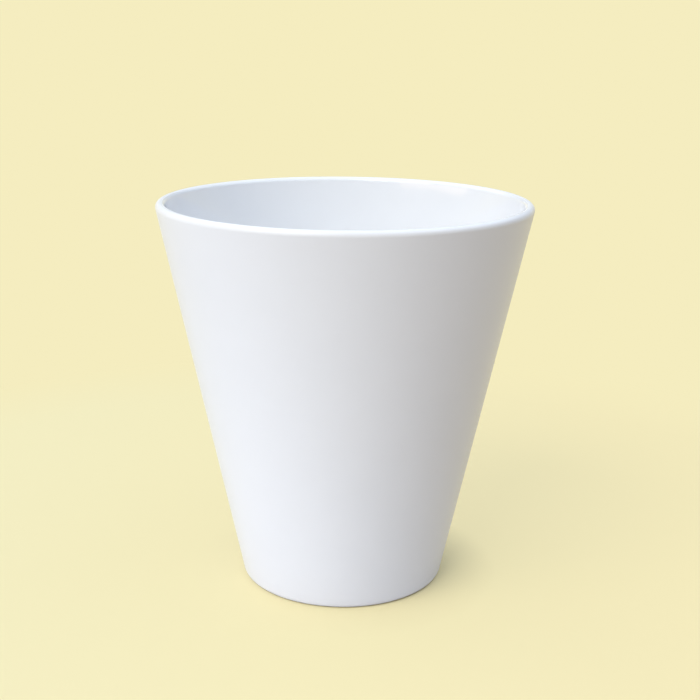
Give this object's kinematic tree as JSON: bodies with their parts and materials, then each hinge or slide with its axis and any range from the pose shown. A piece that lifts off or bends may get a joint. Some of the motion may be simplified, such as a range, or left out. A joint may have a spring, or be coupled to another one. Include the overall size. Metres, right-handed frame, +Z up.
{
  "type": "conical plastic cup",
  "caption": "Plain conical plastic cup moulded in one piece, with a straight tapered wall, a full-round lip, a flat floor and a shallow foot ring to stand on.",
  "frame": {"origin": "on the cup's axis, in the plane that the foot ring stands on", "axes": "+Z up along the axis, towards the open mouth; +X and +Y are free, because the cup is round"},
  "size_m": [0.095, 0.095, 0.1],
  "materials": {
    "white_plastic": "opaque cool white, glossy inside and over the lip, satin outside"
  },
  "bodies": {
    "root": {"cone_cup": "white_plastic"}
  },
  "joints": []
}
